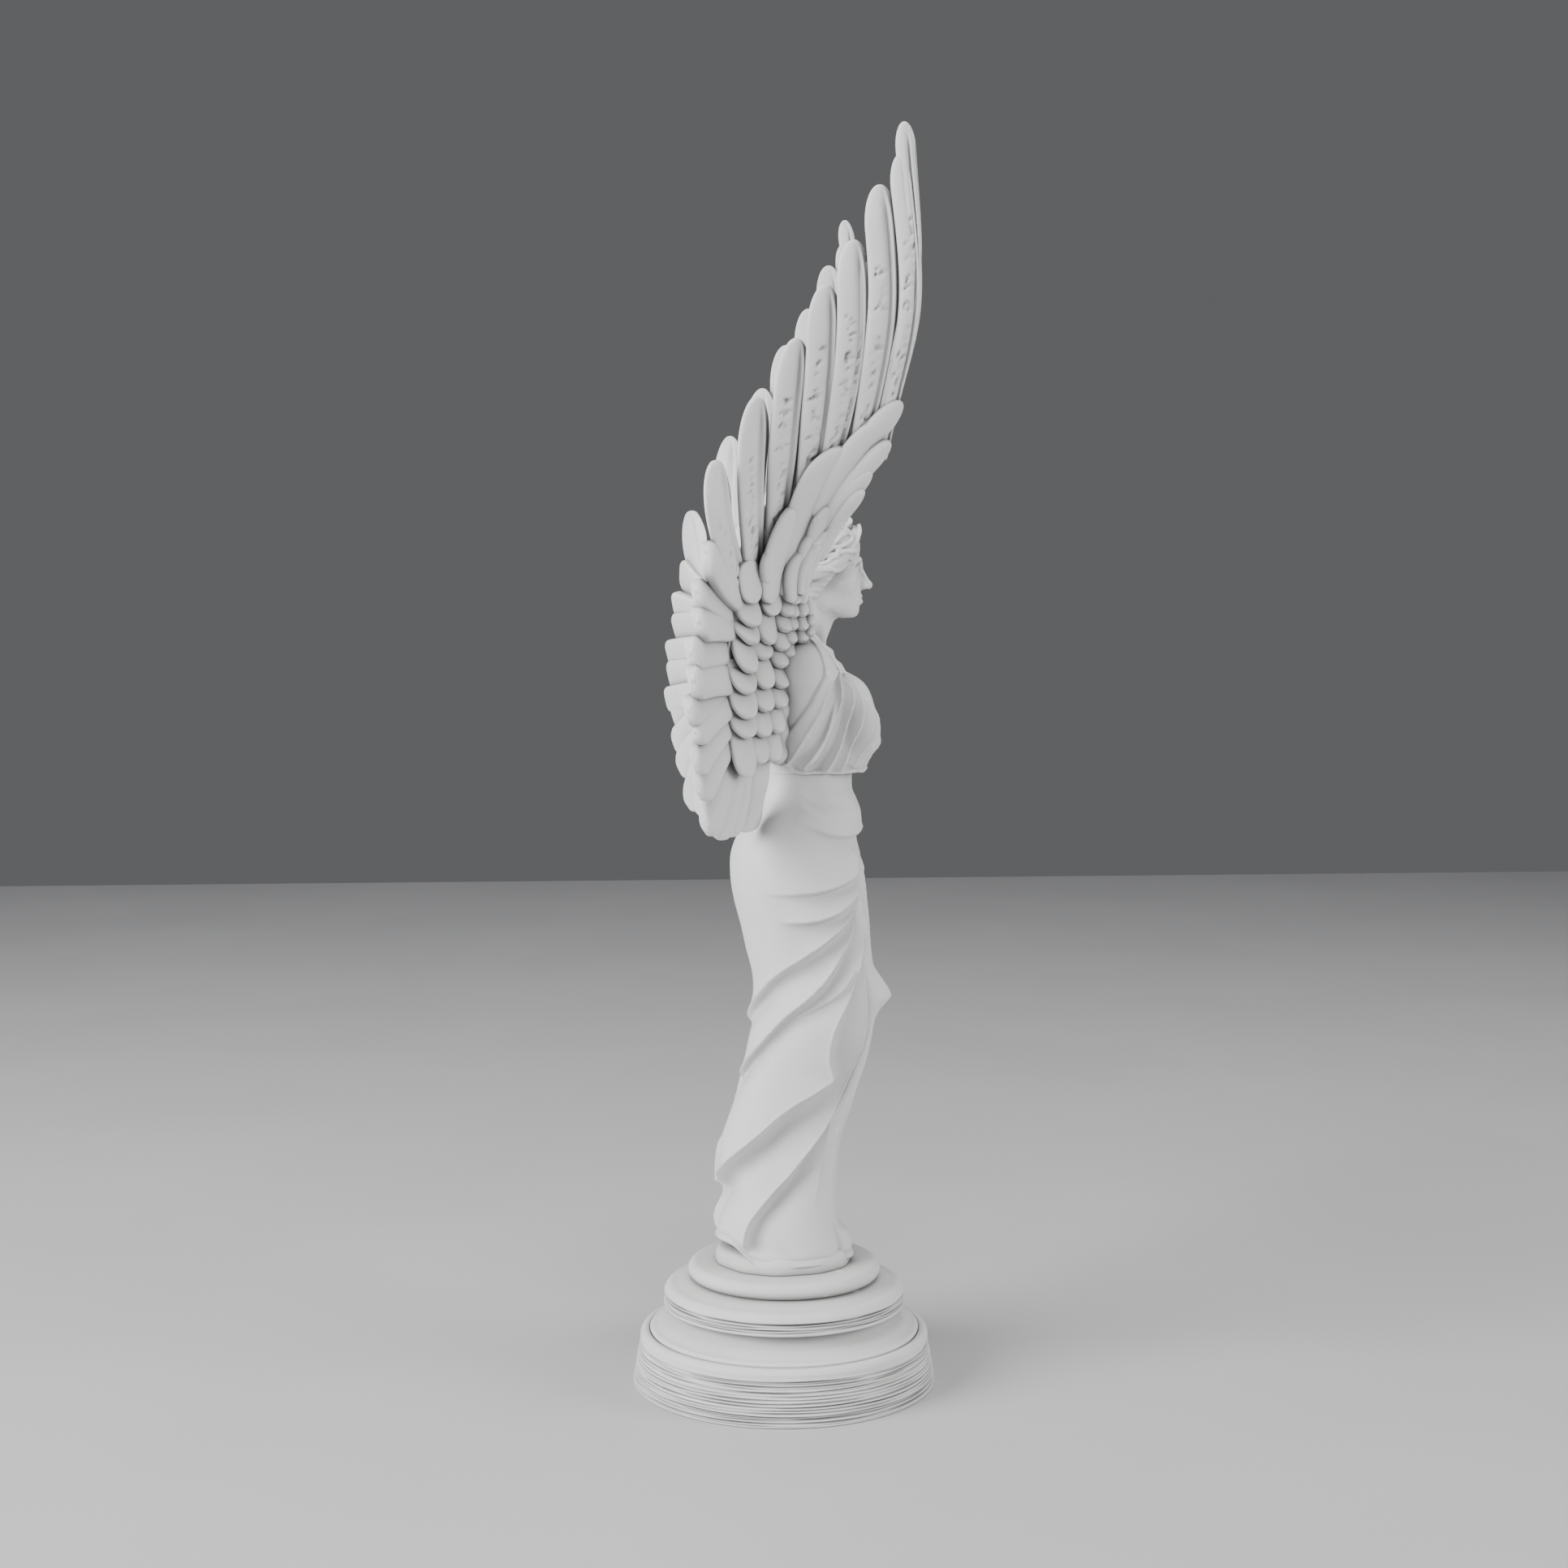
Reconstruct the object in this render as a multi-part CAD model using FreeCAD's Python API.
import FreeCAD, Part
import math
import os
from FreeCAD import Vector

# Winged figure trophy, cast in sections and pinned together on a stepped round base.
# Millimetres, +Z up, origin at the centre of the underside. The figure faces -Y,
# so its right wing is at -X and its left wing at +X.

# ---- driving dimensions ----
TOTAL_H = 400.0        # floor to the tip of the leading feather

# base tiers
DRUM_R = 50.8
DRUM_TOP_R = 48.2
DRUM_RIM_R = 45.4
DRUM_GROOVE_TOP = 15.3
DRUM_H = 18.0
GROOVE_COUNT = 9
GROOVE_DEPTH = 0.45
COLLAR_TOP_R = 36.0
COLLAR_TOP = 26.0
DISC_R = 40.6
DISC_TOP = 35.0
DISC_SHOULDER_R = 31.0
CAP_R = 32.2
CAP_TOP = 40.4
SOCLE_TOP = 43.2

# felt and fixings under the base
FELT_R = 46.0
FELT_T = 1.0
ROD_R = 3.0
ROD_LOW = 1.4
ROD_TOP = 60.0
NUT_ACROSS_FLATS = 10.0
NUT_H = 5.0
LOCK_WASHER_R = 5.5
LOCK_WASHER_T = 1.0
WASHER_R = 8.0
WASHER_T = 1.2
POCKET_R = 9.5
POCKET_TOP = 9.2
CLEAR_R = 3.3          # clearance hole for the rod
INSERT_R = 5.0
PIN_R = 1.5
PIN_HALF_GAP = 9.0
PIN_Y = 5.0
PIN_LOW = 36.5
PIN_TOP = 52.0

# figure joints
WAIST_Z = 203.0        # skirt casting below, bodice casting above, under the drape's edge
NECK_Z = 246.0         # bodice casting below, head casting above
STUD_R = 2.5
STUD_Y = -4.0
STUD_HALF = 11.0
NECK_PIN_R = 1.6
NECK_PIN_Y = -6.0
NECK_PIN_HALF = 7.0

# body sections from the hem to the neck: height, front y, back y, half width
SKIRT_SECTIONS = [
    (SOCLE_TOP, -22.0, 21.5, 20.5), (54.0, -19.5, 23.6, 19.5), (66.0, -16.8, 21.8, 18.0),
    (82.0, -18.8, 20.9, 17.5), (98.0, -24.6, 16.6, 18.0), (114.0, -30.2, 12.9, 19.0),
    (129.0, -33.6, 10.0, 20.5), (142.0, -31.0, 12.0, 22.0), (158.0, -28.5, 15.7, 24.0),
    (171.0, -26.7, 18.2, 25.0), (183.0, -25.4, 16.6, 22.6), (193.0, -24.4, 11.8, 19.6),
    (WAIST_Z, -22.6, 9.2, 18.4),
]
BODICE_SECTIONS = [
    (WAIST_Z, -26.8, 10.4, 19.8), (207.0, -27.8, 10.4, 20.0), (213.0, -29.4, 10.8, 20.8),
    (219.0, -31.0, 11.2, 21.8), (225.0, -30.6, 11.4, 23.0), (231.0, -27.6, 11.0, 23.6),
    (236.0, -22.6, 9.4, 21.6), (240.0, -18.2, 7.0, 17.0), (243.5, -15.0, 4.2, 11.6),
    (NECK_Z, -13.2, 1.5, 7.6),
]
HEAD_SECTIONS = [
    (NECK_Z, -13.2, 1.5, 7.6), (252.0, -13.6, 1.0, 6.8), (257.0, -20.5, 2.5, 8.0),
    (263.0, -25.5, 4.5, 10.6), (270.0, -27.0, 6.0, 12.6), (277.0, -25.5, 5.5, 12.8),
    (283.0, -22.5, 2.5, 10.5), (287.5, -17.5, -4.5, 5.0),
]
KNEE = (7.5, -29.0, 129.0)
KNEE_R = 8.0
SHOULDER = (21.5, -4.0, 239.5)
SHOULDER_R = 8.4

# ---- the wing sheet: at each height it lies along x = out + twist * y + curl * y * y ----
SHEET = [
    (168.0, -20.0, 1.50, 0.030), (180.0, -12.5, 1.32, 0.030), (188.0, -5.4, 1.18, 0.030),
    (200.0, 10.6, 0.69, 0.030), (215.0, 16.8, 0.67, 0.030), (230.0, 21.0, 0.49, 0.035),
    (245.0, 21.7, 0.51, 0.035), (262.0, 25.9, 0.52, 0.030), (280.0, 37.0, 0.51, 0.020),
    (300.0, 49.7, 0.34, 0.008), (320.0, 58.8, 0.17, 0.0), (345.0, 64.0, 0.0, 0.0),
    (365.0, 64.0, -0.14, 0.0), (385.0, 61.2, -0.35, 0.0), (402.0, 63.8, -0.40, 0.0),
    (412.0, 66.0, -0.40, 0.0),
]
SHEET_REACH = 40.0
SHEET_COLUMNS = 9
LAYER_DIR = Vector(0.82, -0.57, 0.0)   # the way feather layers stack, outward and forward
FEATHER_T = 4.4        # flight feathers and wing core
COVERT_T = 3.4

# feathers as root (y, z), tip (y, z), width, bow towards the front
PRIMARIES = [
    ((-26.0, 316.0), (-28.4, TOTAL_H), 8.4, 3.8), ((-19.0, 312.0), (-22.5, 382.4), 8.8, 3.2),
    ((-11.0, 306.0), (-15.3, 366.6), 9.0, 2.6), ((-3.5, 299.0), (-7.2, 353.3), 9.0, 1.8),
    ((6.0, 289.0), (1.3, 337.6), 9.2, 0.6), ((14.0, 273.0), (12.5, 320.4), 11.0, -0.6),
    ((19.5, 266.0), (26.1, 301.1), 11.0, -1.6),
]
SECONDARIES = [
    ((21.5, 262.0), (30.1, 277.6), 7.6, -0.6), ((22.0, 256.0), (33.4, 264.7), 7.4, 0.0),
    ((22.0, 251.0), (34.2, 254.0), 7.6, 0.0), ((22.0, 245.0), (35.2, 244.9), 7.6, 0.0),
    ((22.0, 238.5), (35.2, 236.4), 8.2, 0.0), ((22.0, 232.0), (34.2, 227.6), 7.8, 0.0),
    ((22.0, 225.5), (33.9, 218.8), 7.6, 0.0),
]
TERTIALS = [
    ((21.5, 219.0), (33.0, 208.0), 7.2, 0.4), ((20.5, 214.0), (31.0, 198.5), 6.8, 0.6),
    ((19.0, 211.0), (28.3, 188.4), 6.2, 0.6), ((17.0, 210.0), (24.6, 186.4), 5.6, 0.4),
    ((14.5, 209.5), (20.8, 185.6), 5.0, 0.2), ((12.0, 209.0), (16.6, 186.6), 4.6, 0.0),
]
COVERTS = [
    ((-19.0, 303.0), (-30.6, 321.0), 6.4, 0.8), ((-12.0, 297.0), (-22.9, 314.8), 7.4, 0.8),
    ((-1.0, 280.0), (-13.7, 308.1), 11.5, 1.6), ((9.0, 264.0), (3.7, 290.1), 10.5, 1.2),
    ((12.5, 267.0), (12.6, 277.0), 4.2, 0.0), ((16.2, 262.0), (16.6, 277.2), 5.2, 0.0),
    ((18.5, 259.0), (20.6, 271.8), 7.2, 0.0), ((-14.0, 292.0), (-27.3, 309.0), 5.4, 0.5),
    ((-11.0, 287.0), (-22.3, 300.9), 5.0, 0.5), ((-8.0, 281.0), (-18.6, 293.5), 4.6, 0.4),
    ((-3.6, 273.0), (-11.5, 286.0), 6.0, 0.4), ((2.0, 268.5), (-4.6, 281.5), 6.4, 0.4),
]
# scale columns: centre line from top to bottom, number of scales, width
SCALE_COLUMNS = [
    ([(18.4, 262.0), (19.4, 247.0), (20.0, 232.0), (19.6, 207.6)], 8, 6.8),
    ([(10.8, 266.0), (12.0, 252.0), (13.6, 238.0), (14.0, 210.8)], 8, 6.6),
    ([(4.2, 269.0), (5.6, 254.0), (7.8, 238.0), (9.3, 210.9)], 9, 5.6),
    ([(-1.8, 270.0), (1.4, 258.0), (4.2, 247.0), (5.4, 240.0)], 7, 4.4),
    ([(-5.8, 268.5), (-3.4, 259.0), (-0.4, 250.0)], 6, 3.6),
]
SCALE_LAP = 1.22       # a scale's length over the column's pitch
CORE_OUTLINE = [
    (-25.5, 318.0), (-8.0, 308.0), (8.0, 292.0), (17.5, 274.0), (23.5, 262.0), (24.0, 240.0),
    (23.8, 222.0), (20.0, 208.5), (11.0, 207.0), (6.5, 214.0), (1.5, 230.0), (-2.6, 246.0),
    (-6.5, 262.0), (-10.5, 276.0), (-19.5, 291.0), (-26.5, 304.0),
]
# root boss that joins the wing to the shoulder blade: x, centre y, z, half y, half z
BOSS_SECTIONS = [(6.0, 1.0, 227.0, 6.5, 21.0), (20.0, 3.5, 227.0, 5.0, 19.0),
                 (44.0, 12.0, 227.0, 4.5, 17.0)]
BOSS_REACH = 45.0
WING_PIN_R = 1.5
WING_PIN_Y = 3.0
WING_PIN_HEIGHTS = (221.0, 235.0)
WING_PIN_IN = 9.0      # inner end, inside the bodice
WING_PIN_LEN = 11.5

NODES = {}


def keep(name, shape):
    """Remember one node's shape under its name."""
    NODES[name] = shape


def cylinder(radius, low, high, x=0.0, y=0.0):
    """Upright cylinder from one height to another."""
    return Part.makeCylinder(radius, high - low, Vector(x, y, low))


def turned(points):
    """Solid of revolution about Z from (r, z) corners that start and end on the axis."""
    corners = [Vector(r, 0, z) for r, z in points]
    wire = Part.makePolygon(corners + [corners[0]])
    return Part.Face(wire).revolve(Vector(0, 0, 0), Vector(0, 0, 1), 360)


# ---- base ----

def make_felt_pad():
    pad = cylinder(FELT_R, 0.0, FELT_T)
    keep("felt_pad", pad)


def drum_profile():
    """Tapered drum with shallow turned rings up its side."""
    points = [(0, FELT_T), (FELT_R, FELT_T), (FELT_R, 0), (DRUM_R, 0)]
    pitch = DRUM_GROOVE_TOP / GROOVE_COUNT
    for i in range(1, GROOVE_COUNT):
        z = i * pitch
        r = DRUM_R + (DRUM_TOP_R - DRUM_R) * z / DRUM_GROOVE_TOP
        points += [(r, z - 0.3), (r - GROOVE_DEPTH, z), (r, z + 0.3)]
    points += [(DRUM_TOP_R, DRUM_GROOVE_TOP), (DRUM_TOP_R - 0.9, DRUM_H - 0.9)]
    points += [(DRUM_RIM_R, DRUM_H), (0, DRUM_H)]
    return points


def make_base_drum():
    drum = turned(drum_profile())
    drum = drum.cut(cylinder(POCKET_R, FELT_T, POCKET_TOP))
    drum = drum.cut(cylinder(CLEAR_R, POCKET_TOP, DRUM_H))
    keep("base_drum", drum)


def make_base_collar():
    """Dished collar between the drum and the middle disc."""
    rim = Vector(DRUM_RIM_R - 0.4, 0, DRUM_H)
    shoulder = Vector(DRUM_RIM_R - 0.4, 0, DRUM_H + 0.8)
    top = Vector(COLLAR_TOP_R, 0, COLLAR_TOP)
    dish = Vector(COLLAR_TOP_R + 2.2, 0, DRUM_H + 3.6)
    axis_top = Vector(0, 0, COLLAR_TOP)
    axis_low = Vector(0, 0, DRUM_H)
    edges = [
        Part.makeLine(axis_low, rim), Part.makeLine(rim, shoulder),
        Part.Arc(shoulder, dish, top).toShape(), Part.makeLine(top, axis_top),
        Part.makeLine(axis_top, axis_low),
    ]
    collar = Part.Face(Part.Wire(edges)).revolve(Vector(0, 0, 0), Vector(0, 0, 1), 360)
    collar = collar.cut(cylinder(CLEAR_R, DRUM_H, COLLAR_TOP))
    keep("base_collar", collar)


def make_middle_disc():
    points = [
        (0, COLLAR_TOP), (DISC_R - 0.9, COLLAR_TOP), (DISC_R, COLLAR_TOP + 0.7),
        (DISC_R, COLLAR_TOP + 1.6), (DISC_R - 0.4, COLLAR_TOP + 1.9),
        (DISC_R, COLLAR_TOP + 2.2), (DISC_R - 0.1, COLLAR_TOP + 3.9),
        (DISC_R - 1.0, COLLAR_TOP + 5.6), (DISC_R - 3.0, COLLAR_TOP + 7.0),
        (DISC_SHOULDER_R, DISC_TOP), (0, DISC_TOP),
    ]
    disc = turned(points).cut(cylinder(CLEAR_R, COLLAR_TOP, DISC_TOP))
    keep("middle_disc", disc)


def make_top_disc():
    points = [
        (0, DISC_TOP), (CAP_R - 1.4, DISC_TOP), (CAP_R - 0.4, DISC_TOP + 1.0),
        (CAP_R, DISC_TOP + 2.6), (CAP_R - 0.3, CAP_TOP - 1.3), (CAP_R - 1.6, CAP_TOP),
        (0, CAP_TOP),
    ]
    disc = turned(points).cut(cylinder(CLEAR_R, DISC_TOP, CAP_TOP))
    keep("top_disc", disc.cut(locating_pins()))


def locating_pins():
    left = cylinder(PIN_R, PIN_LOW, PIN_TOP, -PIN_HALF_GAP, PIN_Y)
    right = cylinder(PIN_R, PIN_LOW, PIN_TOP, PIN_HALF_GAP, PIN_Y)
    return Part.makeCompound([left, right])


def make_fixings():
    """Threaded rod up the middle, its nut and washers, the brass insert, two pins."""
    nut_low = POCKET_TOP - WASHER_T - LOCK_WASHER_T - NUT_H
    lock_low = nut_low + NUT_H
    washer_low = lock_low + LOCK_WASHER_T
    keep("tie_rod", cylinder(ROD_R, ROD_LOW, ROD_TOP))
    corner_r = NUT_ACROSS_FLATS / math.sqrt(3)
    angles = [math.radians(60 * i) for i in range(7)]
    corners = [Vector(corner_r * math.cos(a), corner_r * math.sin(a), nut_low) for a in angles]
    nut = Part.Face(Part.makePolygon(corners)).extrude(Vector(0, 0, NUT_H))
    keep("rod_nut", nut.cut(cylinder(ROD_R, nut_low, lock_low)))
    lock = cylinder(LOCK_WASHER_R, lock_low, washer_low)
    keep("lock_washer", lock.cut(cylinder(ROD_R + 0.1, lock_low, washer_low)))
    washer = cylinder(WASHER_R, washer_low, POCKET_TOP)
    keep("rod_washer", washer.cut(cylinder(ROD_R + 0.2, washer_low, POCKET_TOP)))
    insert = cylinder(INSERT_R, SOCLE_TOP, ROD_TOP).cut(cylinder(ROD_R, SOCLE_TOP, ROD_TOP))
    keep("skirt_insert", insert)
    keep("locating_pins", locating_pins())


# ---- figure ----

def section_wire(z, front, back, half_width):
    """Closed oval at one height, a little squarer than an ellipse."""
    middle = (front + back) / 2
    depth = (back - front) / 2
    points = []
    for i in range(16):
        a = 2 * math.pi * i / 16
        c = math.cos(a)
        s = math.sin(a)
        x = half_width * math.copysign(abs(c) ** 0.9, c)
        y = middle + depth * math.copysign(abs(s) ** 0.9, s)
        points.append(Vector(x, y, z))
    curve = Part.BSplineCurve()
    curve.interpolate(Points=points, PeriodicFlag=True)
    return Part.Wire([curve.toShape()])


def body_loft(sections):
    wires = [section_wire(*s) for s in sections]
    return Part.makeLoft(wires, True, False)


def make_socle():
    """Low mound of ground under the hem."""
    low = section_wire(CAP_TOP, -24.0, 24.5, 23.0)
    high = section_wire(SOCLE_TOP, -22.6, 23.2, 21.6)
    mound = Part.makeLoft([low, high], True, True)
    mound = mound.cut(cylinder(CLEAR_R, CAP_TOP, SOCLE_TOP))
    keep("figure_socle", mound.cut(locating_pins()))


def waist_stud():
    return cylinder(STUD_R, WAIST_Z - STUD_HALF, WAIST_Z + STUD_HALF, 0, STUD_Y)


def neck_pin():
    low = NECK_Z - NECK_PIN_HALF
    return cylinder(NECK_PIN_R, low, NECK_Z + NECK_PIN_HALF, 0, NECK_PIN_Y)


def plain_skirt():
    return body_loft(SKIRT_SECTIONS).fuse(Part.makeSphere(KNEE_R, Vector(*KNEE)))


def make_skirt():
    skirt = plain_skirt()
    skirt = skirt.cut(cylinder(INSERT_R, SOCLE_TOP, ROD_TOP))
    skirt = skirt.cut(locating_pins())
    keep("skirt", skirt.cut(waist_stud()))


def plain_bodice():
    """Draped chest with the round ends of the two armless shoulders."""
    x, y, z = SHOULDER
    right = Part.makeSphere(SHOULDER_R, Vector(-x, y, z))
    left = Part.makeSphere(SHOULDER_R, Vector(x, y, z))
    return body_loft(BODICE_SECTIONS).fuse(right).fuse(left)


def make_bodice(wing_pins):
    bodice = plain_bodice().cut(waist_stud()).cut(neck_pin())
    keep("bodice", bodice.cut(wing_pins))


def make_head():
    """Neck, plain oval head with its swept hair, and the small topknot."""
    head = body_loft(HEAD_SECTIONS)
    knot = Part.makeSphere(3.2, Vector(0, -17.5, 285.0))
    keep("head", head.fuse(knot).cut(neck_pin()))


def make_figure_pins():
    keep("waist_stud", waist_stud())
    keep("neck_pin", neck_pin())


# ---- wings, made for the left side and mirrored ----

def sheet_slab(low, high):
    """Curved slab that follows the wing sheet between two stacking distances."""
    rows = []
    for z, out, twist, curl in SHEET:
        row = []
        for column in range(SHEET_COLUMNS):
            y = SHEET_REACH * (2 * column / (SHEET_COLUMNS - 1) - 1)
            row.append(Vector(out + twist * y + curl * y * y, y, z) + LAYER_DIR * low)
        rows.append(row)
    surface = Part.BSplineSurface()
    surface.interpolate(rows)
    return surface.toShape().extrude(LAYER_DIR * (high - low))


def point_on(root, tip, along, side, bow):
    """Point beside a feather's bowed centre line, as a vector in the YZ plane."""
    dy = tip[0] - root[0]
    dz = tip[1] - root[1]
    length = math.hypot(dy, dz)
    shift = side - 4 * bow * along * (1 - along)
    y = root[0] + dy * along + shift * dz / length
    z = root[1] + dz * along - shift * dy / length
    return Vector(0, y, z)


def feather_outline(root, tip, width, bow):
    """Leaf outline: narrower root, bowed sides and a round tip."""
    half = width / 2
    length = math.hypot(tip[0] - root[0], tip[1] - root[1])
    neck = max(0.45, 1 - 0.9 * width / length)
    root_r = point_on(root, tip, 0.0, 0.8 * half, bow)
    root_l = point_on(root, tip, 0.0, -0.8 * half, bow)
    mid_r = point_on(root, tip, neck / 2, half, bow)
    mid_l = point_on(root, tip, neck / 2, -half, bow)
    neck_r = point_on(root, tip, neck, 0.96 * half, bow)
    neck_l = point_on(root, tip, neck, -0.96 * half, bow)
    crown = point_on(root, tip, 1.0, 0.0, bow)
    edges = [
        Part.Arc(root_r, mid_r, neck_r).toShape(),
        Part.Arc(neck_r, crown, neck_l).toShape(),
        Part.Arc(neck_l, mid_l, root_l).toShape(),
        Part.makeLine(root_l, root_r),
    ]
    return Part.Wire(edges)


def through(wire):
    """Prism through the whole wing, across X, from a flat outline."""
    return Part.Face(wire).extrude(Vector(110, 0, 0))


def bank(feathers):
    """One joined block of overlapping feather outlines."""
    prisms = [through(feather_outline(*f)) for f in feathers]
    return prisms[0].multiFuse(prisms[1:])


def point_along(points, t):
    """Point at share t of a polyline's spans."""
    spans = len(points) - 1
    i = min(int(t * spans), spans - 1)
    u = t * spans - i
    a = points[i]
    b = points[i + 1]
    return (a[0] + (b[0] - a[0]) * u, a[1] + (b[1] - a[1]) * u)


def scale_feathers():
    """Scales that hang down each column and lap the next one."""
    feathers = []
    for points, count, width in SCALE_COLUMNS:
        for i in range(count):
            root = point_along(points, i / count)
            end = point_along(points, (i + 1) / count)
            tip = (root[0] + (end[0] - root[0]) * SCALE_LAP, root[1] + (end[1] - root[1]) * SCALE_LAP)
            feathers.append((root, tip, width, 0.0))
    return feathers


def core_prism():
    points = [Vector(0, y, z) for y, z in CORE_OUTLINE]
    curve = Part.BSplineCurve()
    curve.interpolate(Points=points, PeriodicFlag=True)
    return through(Part.Wire([curve.toShape()]))


def wing_pins():
    """Two steel pins, one above the other, from the bodice into the wing's boss."""
    starts = [Vector(WING_PIN_IN, WING_PIN_Y, z) for z in WING_PIN_HEIGHTS]
    sideways = Vector(1, 0, 0)
    return Part.makeCompound([Part.makeCylinder(WING_PIN_R, WING_PIN_LEN, p, sideways) for p in starts])


def upright_oval(x, y, z, half_y, half_z):
    oval = Part.Ellipse(Vector(x, y, z), half_z, half_y)
    oval.Axis = Vector(1, 0, 0)
    oval.XAxis = Vector(0, 0, 1)
    return Part.Wire([oval.toShape()])


def root_boss(body):
    """Oval boss from the shoulder blade out to the back of the wing sheet."""
    boss = Part.makeLoft([upright_oval(*s) for s in BOSS_SECTIONS], True, False)
    behind = sheet_slab(-BOSS_REACH, -FEATHER_T / 2)
    return boss.common(behind).cut(body)


def biggest(shape, smallest=20.0):
    """The solids of a shape without slivers left by cutting."""
    solids = [s for s in shape.Solids if s.Volume > smallest]
    return Part.makeCompound(solids) if len(solids) > 1 else solids[0]


def left_wing():
    """All pieces of one wing, by name."""
    half = FEATHER_T / 2
    middle = sheet_slab(-half, half)
    outer = sheet_slab(half, half + COVERT_T)
    inner = sheet_slab(-half - COVERT_T, -half)
    body = plain_bodice().fuse(plain_skirt())
    pins = wing_pins()
    primaries = bank(PRIMARIES)
    secondaries = bank(SECONDARIES).cut(primaries)
    tertials = bank(TERTIALS).cut(secondaries).cut(primaries)
    coverts = bank(COVERTS)
    scales = bank(scale_feathers()).cut(coverts)
    core = core_prism().cut(primaries).cut(secondaries).cut(tertials)
    boss = root_boss(body)
    pieces = {
        "wing_core": middle.common(core).cut(body).fuse(boss).cut(pins),
        "primaries": middle.common(primaries),
        "secondaries": middle.common(secondaries),
        "tertials": middle.common(tertials).cut(body),
        "greater_coverts": outer.common(coverts),
        "scale_coverts": outer.common(scales).cut(body),
        "inner_coverts": inner.common(coverts.fuse(scales)).cut(body).cut(boss),
        "wing_pins": pins,
    }
    return {name: biggest(shape) for name, shape in pieces.items()}


def make_wings():
    for name, shape in left_wing().items():
        keep("left_" + name, shape)
        keep("right_" + name, shape.mirror(Vector(0, 0, 0), Vector(1, 0, 0)))


def write_nodes():
    os.makedirs("parts", exist_ok=True)
    for name, shape in NODES.items():
        print(name, "solids", len(shape.Solids), "volume", round(shape.Volume, 1), shape.isValid())
        shape.exportStep("parts/" + name + ".step")


make_felt_pad()
make_base_drum()
make_base_collar()
make_middle_disc()
make_top_disc()
make_fixings()
make_socle()
make_skirt()
make_wings()
both_pins = Part.makeCompound([NODES["left_wing_pins"], NODES["right_wing_pins"]])
make_bodice(both_pins)
make_head()
make_figure_pins()
write_nodes()
